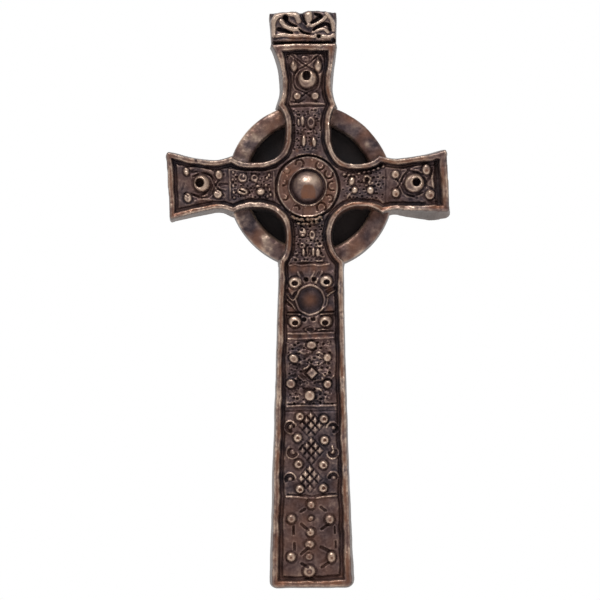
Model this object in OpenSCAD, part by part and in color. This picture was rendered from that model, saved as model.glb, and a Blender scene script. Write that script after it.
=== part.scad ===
// Ringed cross memorial: a small wall cross, hand-modelled and cast in one piece, with a flat back.
// The cross is drawn lying on its back, with the boss at the origin, X to the right, Y up the
// shaft and Z out of the back, and is stood up at the end. Millimetres throughout.

/* [Overall] */
// Centre of the boss up to the top of the capstone
head_rise = 69.8; // [64:0.2:90]
// Centre of the boss down to the foot, at the front
shaft_drop = 159.1; // [130:0.1:200]
// Centre of the boss out to the end of an arm
arm_reach = 56; // [48:0.5:75]
// Back to the crest of the rim
depth = 13; // [11:0.1:18]

/* [Limbs] */
// Width of the shaft just below the ring
shaft_top_w = 25.3; // [22:0.1:29]
// Width of the shaft at its foot
shaft_foot_w = 31.7; // [24:0.1:38]
// Width of an arm at its waist
arm_waist_w = 20; // [17.5:0.1:23]
// Width of an arm at its end
arm_end_w = 25; // [19:0.1:31]
// Width of the upper arm at its waist
upper_waist_w = 19.3; // [17:0.1:22]
// Width of the upper arm where it meets the capstone
upper_end_w = 25.1; // [19:0.1:30]
// How much wider the back of a side is than its front, where the side leans most
draft = 1.2; // [0.4:0.1:1.5]

/* [Rim and panels] */
// Width of the rounded rim
rim_w = 2.1; // [1.6:0.1:2.8]
// Width of the channel between the rim and the carved panels
channel_w = 1.5; // [1.2:0.1:2.2]
// Crest of the rim down to the floor of the channel
channel_drop = 3.1; // [1.5:0.1:4]
// Crest of the rim down to the ground of the panels
panel_drop = 2.1; // [0.8:0.1:2.6]
// Height of the low ridges between panels
ridge_h = 0.6; // [0.3:0.1:1]
// Length of the panel with the roundel
roundel_panel_l = 26.4; // [22:0.1:30]
// Length of the panel with the single diamond
diamond_panel_l = 28.6; // [25:0.1:32]
// Length of the panel with the three lattices
lattice_panel_l = 34.2; // [32:0.1:38]
// Length of the panel of slots and studs at the foot
foot_panel_l = 33.3; // [29:0.1:38]
// Centre of the boss down to the first of the four shaft panels
shaft_panel_top = 33; // [31:0.1:36]

/* [Ring] */
// Outer radius of the ring
ring_r = 33; // [31:0.1:36]
// Radius of the ring's inner edge
ring_inner_r = 25.6; // [24:0.1:28]
// Height of the ring's face above the back
ring_h = 8; // [5:0.1:9]
// Thickness of the floor that closes the four openings in the ring
floor_h = 2.4; // [1.5:0.1:4]

/* [Boss] */
// Radius of the flat collar round the boss
collar_r = 12; // [10.5:0.1:12.6]
// Radius of the thin raised rim round the dome
dome_rim_r = 7.4; // [6.4:0.1:8.4]
// Radius of the dome at its foot
dome_r = 5.9; // [4.6:0.1:6.1]
// Height of the dome above its foot
dome_rise = 4.4; // [2.5:0.1:4.6]

/* [Capstone] */
// Height of the capstone
cap_l = 11.8; // [10:0.1:16]
// Width of the capstone
cap_w = 26.6; // [22:0.1:32]
// Radius of the modelled strands on the capstone
strand_r = 0.8; // [0.5:0.1:1]

/* [Nail hole] */
// Radius of the nail hole in the back
nail_r = 2.5; // [1.5:0.1:3]
// Depth of the nail hole
nail_l = 7; // [4:0.5:8]

/* [Hidden] */
$fn = 48;

edge_steps = 9;          // stations along one side of a limb
pit_steps = 14;          // stations along one armpit
corner_r = 1.3;          // rounding of the limbs' outer corners
corner_steps = 2;
hook_rise = 1.5;         // how far a limb's side swells again between its waist and the ring
hook_l = 7;
cap_groove = 0.6;        // the dark joint line under the capstone
sink = 0.4;              // how far a small solid is let into the ground below it

panel_h = depth - panel_drop;
channel_h = depth - channel_drop;
panel_inset = rim_w + channel_w;
cap_foot = head_rise - cap_l;
upper_reach = cap_foot - cap_groove;
quincunx_back = 13.8;    // end of a short limb back to the eyed stud of its outer panel
inner_panel_end = 24;    // end of a short limb back to the ridge that ends its inner panel

// The four shaft panels share the length that the ring and the foot leave, in these proportions.
shaft_panels_l = shaft_drop - panel_inset - shaft_panel_top;
stretch = shaft_panels_l / (roundel_panel_l + diamond_panel_l + lattice_panel_l + foot_panel_l);

// A limb: [direction, distance of the waist, width and sideways drift at the waist,
// distance of the end on its right and on its left, width and drift at the end,
// how late it flares on its right and on its left, share of the draft at its root and its end].
// Right and left are as seen from the boss looking out along the limb; drift is to the left.
limbs = [
    [0,   36,   arm_waist_w + 0.5,  0.35, arm_reach + 0.4, arm_reach - 0.3, arm_end_w - 0.5, 1.25,
        0.8, 1.2, 1, 1],
    [90,  40.5, upper_waist_w,     -0.25, upper_reach,     upper_reach,     upper_end_w,     0.85,
        1.6, 2.4, 0.8, 1.2],
    [180, 37,   arm_waist_w - 0.5, -1.35, arm_reach - 0.2, arm_reach - 1.6, arm_end_w + 0.6, -0.9,
        1.1, 1.1, 1, 1],
    [270, 30,   shaft_top_w,        1.15, shaft_drop,      shaft_drop,      shaft_foot_w,   -0.65,
        0.9, 2.5, 0.3, 1.1]
];

// An armpit, anticlockwise from the upper right: [centre, radii, squareness].
armpits = [
    [[20.2, 22.3],   [11, 13.4],   2.5],
    [[-20.8, 22.7],  [12.5, 12.6], 2.7],
    [[-21.2, -20.2], [12.3, 12],   2.6],
    [[21, -20],      [11.7, 11.7], 2.2]
];

function turned(p, a) = [p.x * cos(a) - p.y * sin(a), p.x * sin(a) + p.y * cos(a)];

// How far out a limb runs on its right (side = -1) or left (side = 1).
function reach(limb, side) = side < 0 ? limb[4] : limb[5];

// Share of the draft at distance s along a limb.
function lean(limb, s) =
    let (t = max(0, (s - limb[1]) / (limb[4] - limb[1])))
    limb[10] + (limb[11] - limb[10]) * t * t;

// Half width of a limb at distance s, drawn in by inset at the front or spread by the draft.
function half_w(limb, side, s, inset, spread) =
    let (
        waist = limb[2] / 2 + side * limb[3],
        end = limb[6] / 2 + side * limb[7],
        t = max(0, (s - limb[1]) / (reach(limb, side) - limb[1])),
        back = max(0, (limb[1] - s) / hook_l),
        late = side < 0 ? limb[8] : limb[9],
        hook = limb[0] == 270 ? 0 : hook_rise * back * back
    )
    waist + (end - waist) * pow(t, late) + hook - inset + spread * lean(limb, s);

function side_point(limb, side, s, inset, spread) =
    turned([s, side * half_w(limb, side, s, inset, spread)], limb[0]);

// Below 1 inside an armpit, above 1 outside it.
function pit_value(pit, p, grow) =
    pow(abs(p.x - pit[0].x) / (pit[1].x + grow), pit[2])
    + pow(abs(p.y - pit[0].y) / (pit[1].y + grow), pit[2]);

// Distance along a limb at which its side meets an armpit, by halving the interval.
function cusp_at(limb, side, pit, inset, spread, low, high, tries = 22) =
    let (mid = (low + high) / 2)
    tries == 0 ? mid
    : pit_value(pit, side_point(limb, side, mid, inset, spread), inset - spread) < 1
        ? cusp_at(limb, side, pit, inset, spread, mid, high, tries - 1)
        : cusp_at(limb, side, pit, inset, spread, low, mid, tries - 1);

function limb_cusp(k, side, inset, spread) =
    cusp_at(limbs[k], side, armpits[side < 0 ? (k + 3) % 4 : k], inset, spread, 18, 42);

// The side of a limb from its cusp to just short of its corner, cusp first.
function limb_side(k, side, inset, spread) =
    let (
        limb = limbs[k],
        from = limb_cusp(k, side, inset, spread),
        to = reach(limb, side) - inset + spread * limb[11] / 2 - corner_r
    )
    [for (i = [0:edge_steps]) side_point(limb, side, from + (to - from) * i / edge_steps, inset, spread)];

// The rounded corner that follows a limb's side, going out and round to the end face.
function limb_corner(k, side, inset, spread) =
    let (
        limb = limbs[k],
        out = reach(limb, side) - inset + spread * limb[11] / 2,
        half = half_w(limb, side, out, inset, spread)
    )
    [for (i = [1:corner_steps])
        let (a = 90 - 90 * i / corner_steps)
        turned([out - corner_r + corner_r * cos(a), side * (half - corner_r + corner_r * sin(a))], limb[0])];

// An armpit from the cusp on one limb to the cusp on the next, both left out.
function armpit(k, inset, spread) =
    let (
        pit = armpits[k],
        turn = 90 * k,
        from = turned(side_at_cusp(k, 1, inset, spread) - pit[0], -turn),
        to = turned(side_at_cusp((k + 1) % 4, -1, inset, spread) - pit[0], -turn),
        a0 = atan2(from.y, from.x),
        a1 = atan2(to.y, to.x) - 360,
        rx = pit[1].x + inset - spread,
        ry = pit[1].y + inset - spread
    )
    [for (i = [1:pit_steps - 1])
        let (
            a = turn + a0 + (a1 - a0) * i / pit_steps,
            r = pow(pow(abs(cos(a)) / rx, pit[2]) + pow(abs(sin(a)) / ry, pit[2]), -1 / pit[2])
        )
        pit[0] + r * [cos(a), sin(a)]];

function side_at_cusp(k, side, inset, spread) =
    side_point(limbs[k], side, limb_cusp(k, side, inset, spread), inset, spread);

function reversed(list) = [for (i = [len(list) - 1:-1:0]) list[i]];

// The whole outline, anticlockwise, drawn in by inset or spread outwards by the draft.
function outline(inset, spread = 0) = [
    for (k = [0:3]) each concat(
        limb_side(k, -1, inset, spread),
        limb_corner(k, -1, inset, spread),
        reversed(limb_corner(k, 1, inset, spread)),
        reversed(limb_side(k, 1, inset, spread)),
        armpit(k, inset, spread)
    )
];

// Section of the band that carries the rim: [inset, share of the draft, height].
// It runs up the leaning side, over the rounded rim and down into the channel.
rim_section = [
    [0,            draft,       0],
    [0,            draft * 0.9, 1.2],
    [0,            draft * 0.1, depth - 1.6],
    [rim_w * 0.1,  0,           depth - 0.5],
    [rim_w * 0.4,  0,           depth],
    [rim_w * 0.7,  0,           depth - 0.3],
    [rim_w * 0.95, 0,           depth - 1.2],
    [rim_w * 1.1,  0,           channel_h],
    [rim_w * 1.2,  0,           channel_h - 1],
    [rim_w * 1.2,  0,           0]
];

// The leaning side, rim and channel wall, swept round the outline as one closed band.
module rim_band() {
    rows = [for (s = rim_section) [for (p = outline(s[0], s[1])) [p.x, p.y, s[2]]]];
    n = len(rows[0]);
    m = len(rows);
    polyhedron(
        points = [for (row = rows) each row],
        faces = [
            for (i = [0:m - 1], j = [0:n - 1])
                [i * n + j, ((i + 1) % m) * n + j, ((i + 1) % m) * n + (j + 1) % n, i * n + (j + 1) % n]
        ]
    );
}

// The slab that fills the band up to the floor of the channel, and the raised panels on it.
module limb_slabs() {
    linear_extrude(channel_h) polygon(outline(rim_w * 0.9));
    linear_extrude(panel_h) polygon(outline(panel_inset));
}

// The ring: a plain band with worn, rounded edges, set back from the limbs and hand-set a
// little off the boss, with the floor that closes its four openings.
module ring() {
    edge = 1.4;
    middle = (ring_r + ring_inner_r) / 2;
    translate([1.1, 0.4, 0]) {
        rotate_extrude($fn = 96) polygon([
            [ring_inner_r - 0.6, 0],
            [ring_r + 0.4, 0],
            [ring_r + 0.2, ring_h - 2 * edge],
            [ring_r - 0.4, ring_h - edge / 2],
            [ring_r - edge, ring_h - 0.1],
            [middle, ring_h],
            [ring_inner_r + edge / 2, ring_h - 0.3],
            [ring_inner_r, ring_h - edge / 2],
            [ring_inner_r - 0.2, ring_h - 2 * edge]
        ]);
        cylinder(h = floor_h, r = (ring_inner_r + ring_r) / 2);
    }
}

// A rounded stud standing rise above the ground h, r across its foot.
module stud(x, y, r, rise = 1.5, h = panel_h) {
    ball = (r * r + rise * rise) / (2 * rise);
    translate([x, y, h + rise - ball]) sphere(ball, $fn = 32);
}

// A stud with a hole pressed into its crown.
module eyed_stud(x, y, r, rise = 1.7, hole = 0.38) {
    difference() {
        stud(x, y, r, rise);
        translate([x, y, panel_h + rise * 0.25]) cylinder(h = rise + 1, r = r * hole, $fn = 24);
    }
}

// A low bar from side to side at height y, as wide as w.
module bar(y, w, thick = 0.9, x = 0) {
    translate([x - w / 2, y - thick / 2, panel_h - sink]) cube([w, thick, ridge_h + sink]);
}

// The dome, its moat and thin rim, and the flat collar round them.
module boss() {
    top = panel_h + 0.9;
    difference() {
        cylinder(h = top, r = collar_r, $fn = 96);
        translate([0, 0, panel_h - 0.6]) cylinder(h = 3, r = dome_rim_r - 0.6, $fn = 72);
        for (i = [0:12])
            rotate(i * 360 / 13) translate([collar_r * 0.81, 0, top - 0.4])
                difference() {
                    cylinder(h = 1, r = 1.35, $fn = 24);
                    translate([0, 0, -1]) cylinder(h = 3, r = 0.85, $fn = 24);
                }
    }
    translate([0, 0, top]) rotate_extrude($fn = 72) translate([dome_rim_r, 0]) circle(0.5, $fn = 16);
    stud(0, 0, dome_r, dome_rise, panel_h - 0.7);
    stud(-8.3, 7.6, 1.2, 0.7, top);
}

// Four studs round a larger eyed one, as on the outer panel of each short limb: out and back are
// how far they stand along the limb beyond and before the middle, wide and near across it.
module quincunx(along, x, out, back, wide, near) {
    rotate(along) translate([x, 0]) {
        eyed_stud(0, 0, 3.7, 2.3);
        for (side = [-1, 1]) {
            stud(out, side * wide, 1.8, 1.6);
            stud(-back, side * near, 1.7, 1.6);
        }
    }
    rotate(along) translate([x - back - 3, -near - 1.6, panel_h - sink])
        cube([0.8, 2 * near + 3.2, ridge_h + sink]);
}

// A place along the inner panel of a limb, from the collar (0) to the panel's far end (1).
function inner_place(end, share) = collar_r + 1 + (end - collar_r - 1) * share;

module short_limb_studs() {
    quincunx(0, arm_reach - quincunx_back, 5.6, 7, 5, 4);
    translate([0, 1.2]) quincunx(180, arm_reach - quincunx_back, 5.8, 6.7, 5, 3.9);
    quincunx(90, upper_reach - quincunx_back - 0.5, 5.7, 6.5, 4.9, 3.7);
    for (share = [0.25, 0.58]) {
        x = inner_place(arm_reach - inner_panel_end, share);
        y = inner_place(upper_reach - inner_panel_end, share);
        for (side = [-1, 1]) {
            stud(x, 0.2 + side * 2.1, 1.5, 1.3);
            stud(-x - 2, 1.4 + side * 2.1, 1.6, 1.3);
            stud(0.1 + side * 1.9, y, 1.4, 1.2);
        }
    }
    for (x = [-2, 1.5]) stud(x, -inner_place(shaft_panel_top, 0.28), 1.4, 1.2);
    for (i = [0:3]) stud(-2.6 + 2 * i, -inner_place(shaft_panel_top, 0.58 + 0.025 * i), 1.2, 1);
}

// Panel of four eyed studs and a thin ring round a dished disc.
module roundel_panel(top) {
    mid = top - roundel_panel_l * stretch / 2 + 0.7;
    for (x = [-5.7, 6.6], y = [-8, 8]) eyed_stud(0.1 + x, mid + y * stretch, 2.5);
    translate([0.4, mid + 0.3, panel_h]) rotate_extrude($fn = 72) translate([5.6, 0]) circle(0.6, $fn = 16);
    bar(top, shaft_top_w - 2 * panel_inset - 1);
    for (x = [-6.6, 7.4]) bar(mid - 4.6 * stretch, 4, 0.6, x);
}

// Panel of six studs round a single diamond.
module diamond_panel(top) {
    mid = top - diamond_panel_l * stretch / 2;
    w = shaft_top_w - 2 * panel_inset;
    for (y = [-0.9, 0.9]) bar(top + y, w, 0.7);
    for (x = [-7, 7], y = [-4.9, 5.4]) stud(x, mid + y * stretch, 1.9, 1.5);
    stud(0.6, mid + 10.6 * stretch, 2, 1.5);
    stud(-0.4, mid - 9.3 * stretch, 2.2, 1.6);
    translate([0.6, mid - 0.6, panel_h - sink]) rotate(45) linear_extrude(1 + sink) square(2.6, center = true);
    bar(top - diamond_panel_l * stretch + 0.8, w, 0.8);
}

// A square lattice of three by three lozenges, set on its point.
module lattice(x, y) {
    step = 2.6;
    for (i = [-1:1], j = [-1:1])
        translate([x, y, panel_h - sink]) rotate(45) translate([i * step, j * step])
            linear_extrude(0.9 + sink) square(step - 0.6, center = true);
}

// Panel of eight eyed studs and three lattices.
module lattice_panel(top) {
    for (i = [0:3], side = [-1, 1]) eyed_stud(side * 5, top - (3.6 + 9.5 * i) * stretch, 1.8, 1.2, 0.4);
    for (i = [0:2]) lattice(-0.2, top - (7 + 10.5 * i) * stretch);
}

// The six round hollows of the coils down the edges of the lattice panel, to be cut away.
module lattice_panel_coils(top) {
    for (i = [0:2], side = [-1, 1])
        translate([side * 8.4, top - (7.8 + 10.3 * i) * stretch, panel_h - 0.9])
            cylinder(h = 2, r = 1.5, $fn = 32);
}

// Foot panel: a string of studs down the middle and two rows at the sides.
module foot_panel(top) {
    mid = top - foot_panel_l * stretch / 2;
    bar(top - 0.4, shaft_foot_w - 2 * panel_inset - 2, 0.9);
    for (x = [-8.5, 7.2], y = [6.8, -8.2]) stud(x, mid + y * stretch, 2, 1.7);
    stud(-0.4, mid + 12.3 * stretch, 1.8, 1.6);
    stud(-0.7, mid + 7 * stretch, 1.1, 1);
    for (y = [1.5, -3.2]) stud(-1, mid + y * stretch, 1.9, 1.6);
    stud(-1.4, mid - 8 * stretch, 1.6, 0.9);
    stud(-1.6, mid - 13.5 * stretch, 2.6, 1.6);
}

// The slanting slots that tie the studs of the foot panel, to be cut away.
module foot_panel_slots(top) {
    mid = top - foot_panel_l * stretch / 2;
    for (side = [-1, 1], y = [6.9, -8.1], turn = [-1, 1])
        translate([side * 4.4 - 0.7, mid + y * stretch + turn * 3.8, panel_h - 0.9])
            rotate(-side * turn * 40) translate([-1.7, -0.5]) cube([3.4, 1, 3]);
}

// A strand of the capstone's carving: a bent half-sunk tube with a ball at each end.
module strand(x, y, r, from, to) {
    translate([x, y, depth - 0.2]) {
        rotate(from) rotate_extrude(angle = to - from, $fn = 48) translate([r, 0]) circle(strand_r, $fn = 24);
        for (a = [from, to]) rotate(a) translate([r, 0]) sphere(strand_r * 1.2, $fn = 24);
    }
}

// The capstone: a block on the upper arm, with two facing coiled beasts in thick strands.
module capstone() {
    half = cap_w / 2;
    mid = head_rise - cap_l / 2;
    top = head_rise - 0.4;
    translate([-0.9, 0, 0]) {
        linear_extrude(depth - 0.2) polygon([
            [-half + 0.5, cap_foot],
            [half - 0.6, cap_foot],
            [half - 0.2, mid],
            [half, top - 1],
            [half - 1, top],
            [half * 0.4, top - 0.2],
            [0, head_rise],
            [-half * 0.5, top - 0.3],
            [-half + 1, top],
            [-half, top - 1],
            [-half + 0.2, mid]
        ]);
        linear_extrude(depth / 2) translate([-half, cap_foot - cap_groove - 1])
            square([cap_w, cap_l + cap_groove]);
        for (side = [-1, 1]) {
            strand(side * 7.4, mid + 2.8, 2.6, 90 - side * 150, 90 + side * 130);
            strand(side * 4, mid + 1.6, 2.2, 90 - side * 90, 90 + side * 60);
            strand(side * 9, mid - 2.2, 2, -90 - side * 80, -90 + side * 70);
        }
        translate([0, cap_foot + 1.1, depth - 0.4])
            rotate([0, 90, 0]) cylinder(h = cap_w - 2, r = 0.9, center = true, $fn = 20);
    }
}

// A blind hole for a nail, square into the back behind the boss.
module nail_hole() {
    translate([0, 0, -1]) cylinder(h = nail_l + 1, r = nail_r);
}

module cross() {
    roundel_top = -shaft_panel_top;
    diamond_top = roundel_top - roundel_panel_l * stretch;
    lattice_top = diamond_top - diamond_panel_l * stretch;
    foot_top = lattice_top - lattice_panel_l * stretch;
    color("#6b5344") rotate([90, 0, 0]) difference() {
        union() {
            rim_band();
            limb_slabs();
            ring();
            boss();
            capstone();
            short_limb_studs();
            roundel_panel(roundel_top);
            diamond_panel(diamond_top);
            lattice_panel(lattice_top);
            foot_panel(foot_top);
        }
        lattice_panel_coils(lattice_top);
        foot_panel_slots(foot_top);
        nail_hole();
    }
}

cross();
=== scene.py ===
import math

import bpy
import numpy as np
from mathutils import Matrix, Vector


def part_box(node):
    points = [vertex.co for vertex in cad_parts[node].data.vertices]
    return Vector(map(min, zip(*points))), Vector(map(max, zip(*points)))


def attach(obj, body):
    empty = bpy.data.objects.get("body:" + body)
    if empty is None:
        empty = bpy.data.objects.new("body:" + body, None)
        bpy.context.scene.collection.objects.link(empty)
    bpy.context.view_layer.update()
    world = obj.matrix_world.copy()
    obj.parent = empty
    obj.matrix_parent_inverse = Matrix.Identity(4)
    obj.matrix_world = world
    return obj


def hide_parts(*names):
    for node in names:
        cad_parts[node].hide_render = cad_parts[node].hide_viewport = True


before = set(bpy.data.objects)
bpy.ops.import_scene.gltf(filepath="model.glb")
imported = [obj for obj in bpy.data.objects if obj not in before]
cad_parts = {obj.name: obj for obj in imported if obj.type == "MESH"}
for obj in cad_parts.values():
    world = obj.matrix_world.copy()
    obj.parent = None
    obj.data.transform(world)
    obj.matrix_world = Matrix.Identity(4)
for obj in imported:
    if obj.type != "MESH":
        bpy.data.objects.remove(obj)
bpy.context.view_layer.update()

# ---------------- the limbs
# One slab of cold-cast bronze (bronze powder in resin) with four flaring limbs parted by round
# armpits, poured in an open mould that was taken from a hand-modelled clay master. Sizes are in
# millimetres from the middle of the boss, X to the right and Z up, and start from the CAD box.
low, high = [corner * 1000 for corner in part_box("cross")]
side_lean = 1.2

# How far the back goes past the reach of the face at the arms, foot and head, and the dome past the
# rim.
arm_lean = 1.0
foot_lean = 0.66
head_lean = 0.3
dome_proud = 1.6

arm_reach = high.x - arm_lean
shaft_drop = -low.z - foot_lean
head_rise = high.z - head_lean
rim_h = -low.y - dome_proud
cap_l = 11.8
cap_joint = 0.6
upper_reach = head_rise - cap_l - cap_joint
hook_rise = 1.5
hook_l = 7

# Each limb: which way it points, where its waist is and how wide, how far the waist drifts to its
# left, how far its right and left sides run, its end width and drift, how late each side flares, how
# far its neck hooks out at the armpits, and how round its corners are.
limb_facts = (
    "turn", "waist_at", "waist_w", "waist_drift", "reach", "end_w", "end_drift", "late", "hook", "corner")
limbs = [dict(zip(limb_facts, facts)) for facts in (
    (0, 36, 20.5, 0.35, (arm_reach + 0.4, arm_reach - 0.3), 25.2, 1.6, (0.8, 1.5), hook_rise, 1.3),
    (90, 40.5, 19.3, -0.25, (upper_reach, upper_reach), 26.8, 0.85, (1.5, 2.0), hook_rise, 1.0),
    (180, 37, 19.5, -1.35, (arm_reach + 0.1, arm_reach - 0.8), 27.1, -1.15, (1.5, 1.2), hook_rise, 1.2),
    (270, 30, 25.3, 1.15, (shaft_drop, shaft_drop), 32.3, -0.65, (0.9, 2.4), 0, 2.4),
)]

# Each armpit, anticlockwise from the upper right: its middle, its half width and half height, and
# how square it is (2 is an ellipse).
armpits = [
    dict(middle=(20.2, 22.3), half=(11, 13.4), square=2.5),
    dict(middle=(-20.8, 22.7), half=(12.5, 12.6), square=2.7),
    dict(middle=(-21.2, -20.2), half=(12.3, 12), square=2.6),
    dict(middle=(21, -20), half=(11.7, 11.7), square=2.2),
]


def turned(u, v, turn):
    """A point u along and v to the left of a direction, as X and Z."""
    c, s = math.cos(math.radians(turn)), math.sin(math.radians(turn))
    return u * c - v * s, u * s + v * c


def side_point(limb, side, s):
    """A point on a limb's right (side -1) or left (side 1) edge, s out from the boss."""
    out = max(0, (s - limb["waist_at"]) / (limb["reach"][side > 0] - limb["waist_at"]))
    back = max(0, (limb["waist_at"] - s) / hook_l)
    waist = limb["waist_w"] / 2 + side * limb["waist_drift"]
    end = limb["end_w"] / 2 + side * limb["end_drift"]
    half = waist + (end - waist) * out ** limb["late"][side > 0] + limb["hook"] * back * back
    return turned(s, side * half, limb["turn"])


def in_armpit(pit, x, z):
    """Under 1 inside an armpit."""
    u = abs(x - pit["middle"][0]) / pit["half"][0]
    v = abs(z - pit["middle"][1]) / pit["half"][1]
    return u ** pit["square"] + v ** pit["square"]


def cusp(limb, side, pit):
    """How far out a limb's edge meets an armpit, by halving the interval."""
    inner, outer = 18.0, 42.0
    for _ in range(30):
        middle = (inner + outer) / 2
        if in_armpit(pit, *side_point(limb, side, middle)) < 1:
            inner = middle
        else:
            outer = middle
    return inner


def limb_edge(limb, side, start):
    """One edge of a limb, from its cusp out to and round its corner."""
    corner_r = limb["corner"]
    end = limb["reach"][side > 0] - corner_r
    edge = [side_point(limb, side, s) for s in np.linspace(start, end, 60)]
    x, z = turned(*side_point(limb, side, limb["reach"][side > 0]), -limb["turn"])
    for a in np.radians([67.5, 45, 22.5, 0]):
        u = end + corner_r * math.cos(a)
        v = abs(z) - corner_r + corner_r * math.sin(a)
        edge.append(turned(u, side * v, limb["turn"]))
    return edge


def armpit_curve(pit, start, end):
    """The round of an armpit, clockwise from one cusp to the next."""
    cx, cz = pit["middle"]
    a0 = math.atan2(start[1] - cz, start[0] - cx)
    a1 = math.atan2(end[1] - cz, end[0] - cx)
    while a1 >= a0:
        a1 -= 2 * math.pi
    round_ = []
    for a in np.linspace(a0, a1, 82)[1:-1]:
        u = abs(math.cos(a)) / pit["half"][0]
        v = abs(math.sin(a)) / pit["half"][1]
        r = (u ** pit["square"] + v ** pit["square"]) ** (-1 / pit["square"])
        round_.append((cx + r * math.cos(a), cz + r * math.sin(a)))
    return round_


outline = []
for k, limb in enumerate(limbs):
    following = limbs[(k + 1) % 4]
    right_cusp = cusp(limb, -1, armpits[(k + 3) % 4])
    left_cusp = cusp(limb, 1, armpits[k])
    next_cusp = cusp(following, -1, armpits[k])
    outline += limb_edge(limb, -1, right_cusp)
    outline += limb_edge(limb, 1, left_cusp)[::-1]
    outline += armpit_curve(armpits[k], side_point(limb, 1, left_cusp), side_point(following, -1, next_cusp))

# The face is worked as a height above the back at each point of a fine grid.
cell = 0.25
xs = np.arange(low.x - 3, high.x + 3, cell)
zs = np.arange(low.z - 3, high.z + 3, cell)
X, Z = np.meshgrid(xs, zs)
rng = np.random.default_rng(11)


def near(x0, x1, z0, z1, margin):
    """The rows and columns of the grid within margin of a box."""
    cols = slice(*np.searchsorted(xs, (x0 - margin, x1 + margin)))
    rows = slice(*np.searchsorted(zs, (z0 - margin, z1 + margin)))
    return rows, cols


def line_distance(points, margin):
    """The patch of grid round a line, how far each point of it is from the line, and where along."""
    points = np.asarray(points, float)
    (x0, z0), (x1, z1) = points.min(axis=0), points.max(axis=0)
    here = near(x0, x1, z0, z1, margin)
    px, pz = X[here], Z[here]
    distance = np.full(px.shape, float(margin))
    place = np.zeros(px.shape)
    for k, ((x0, z0), (x1, z1)) in enumerate(zip(points[:-1], points[1:])):
        length2 = max((x1 - x0) ** 2 + (z1 - z0) ** 2, 1e-9)
        along = np.clip(((px - x0) * (x1 - x0) + (pz - z0) * (z1 - z0)) / length2, 0, 1)
        from_segment = np.hypot(px - x0 - along * (x1 - x0), pz - z0 - along * (z1 - z0))
        place = np.where(from_segment < distance, (k + along) / (len(points) - 1), place)
        distance = np.minimum(distance, from_segment)
    return here, distance, place


def inside_distance(points, reach=6.0):
    """How far in from a closed outline each grid point is, negative outside, at most reach."""
    points = np.asarray(points, float)
    distance = np.full(X.shape, reach)
    crossings = np.zeros(X.shape, int)
    for start, end in zip(points, np.roll(points, -1, axis=0)):
        here, from_edge, _ = line_distance([start, end], reach)
        distance[here] = np.minimum(distance[here], from_edge)
        if start[1] != end[1]:
            z_low, z_high = sorted((start[1], end[1]))
            rows = np.nonzero((zs >= z_low) & (zs < z_high))[0]
            x_cut = start[0] + (zs[rows] - start[1]) * (end[0] - start[0]) / (end[1] - start[1])
            crossings[rows, np.searchsorted(xs, x_cut)] += 1
    inside = np.cumsum(crossings, axis=1) % 2 == 1
    return np.where(inside, distance, -distance)


def softened(field, size):
    """A field blurred over about size millimetres."""
    fz = np.fft.fftfreq(field.shape[0], cell)[:, None]
    fx = np.fft.rfftfreq(field.shape[1], cell)[None, :]
    keep = np.exp(-0.5 * (2 * math.pi * size) ** 2 * (fx ** 2 + fz ** 2))
    return np.fft.irfft2(np.fft.rfft2(field) * keep, s=field.shape)


def unevenness(size):
    """Smooth seeded unevenness of about that size in millimetres, mostly between -1 and 1."""
    soft = softened(rng.standard_normal(X.shape), size / 4)
    return soft / soft.std() * 0.5


limb_in = inside_distance(outline)
limb_in += 0.13 * unevenness(14) + 0.07 * unevenness(5)

# ---------------- rim and channel
# A flat bead of clay laid along the edge and pinched by hand: its two edges stand a little proud
# of its middle, and it wanders in width and height. Inside it a channel cut with a round-ended
# tool sets off the carved panels.
channel_h = rim_h - 3.0
panel_h = rim_h - 2.1
rim_section = [
    (0.0, rim_h - 1.3), (0.2, rim_h - 0.45), (0.45, rim_h - 0.05), (0.75, rim_h), (1.15, rim_h - 0.18),
    (1.55, rim_h - 0.2), (1.85, rim_h - 0.3), (2.1, rim_h - 0.8), (2.4, rim_h - 2.1), (2.7, channel_h),
    (3.2, channel_h - 0.05), (3.45, channel_h + 0.35), (3.7, panel_h - 0.15), (4.1, panel_h),
]
wander = 0.24 * unevenness(10) + 0.1 * unevenness(3)
broader = np.interp(Z, [-shaft_drop, -150, -60, 48, 55], [1.36, 1.24, 1.0, 1.0, 1.35])
broader *= np.interp(X, [45, 53], [1.0, 1.42])
rim_way = limb_in / broader
height = np.interp(rim_way + wander * np.clip(rim_way, 0, 1), *zip(*rim_section))
on_rim = np.clip((2.3 - rim_way) / 0.6, 0, 1)
height += on_rim * (0.28 * unevenness(5) + 0.16 * unevenness(1.8))
height += (1 - on_rim) * (0.2 * unevenness(3.5) + 0.1 * unevenness(1.3))
blush = np.clip(0.5 + 0.7 * unevenness(7), 0, 1)
copper = np.where(rim_way < 2.6, 1.15 * blush * np.exp(-((rim_way - 1.4) / 0.65) ** 2), 0.3 * blush)


def curve(*points):
    """A smooth line through a few points."""
    p = np.array(points, float)
    p = np.vstack([2 * p[0] - p[1], p, 2 * p[-1] - p[-2]])
    t = np.linspace(0, 1, 7)[:-1, None]
    spans = [
        0.5 * (2 * b + (c - a) * t + (2 * a - 5 * b + 4 * c - d) * t ** 2 + (3 * b - 3 * c + d - a) * t ** 3)
        for a, b, c, d in zip(p, p[1:], p[2:], p[3:])
    ]
    return np.vstack(spans + [p[-2:-1]])


def arc(x, z, r, start, end):
    """A round line about x, z from one angle to another, in degrees."""
    angles = np.radians(np.linspace(start, end, 16))
    return np.column_stack([x + r * np.cos(angles), z + r * np.sin(angles)])


def roll(points, wide, rise):
    """A thin roll of clay laid along a line: one width, or several from end to end."""
    here, distance, place = line_distance(points, np.max(wide))
    across = 2 * distance / np.interp(place, np.linspace(0, 1, np.size(wide)), np.atleast_1d(wide))
    height[here] += rise * np.sqrt(np.clip(1 - across ** 2, 0, 1))


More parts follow.
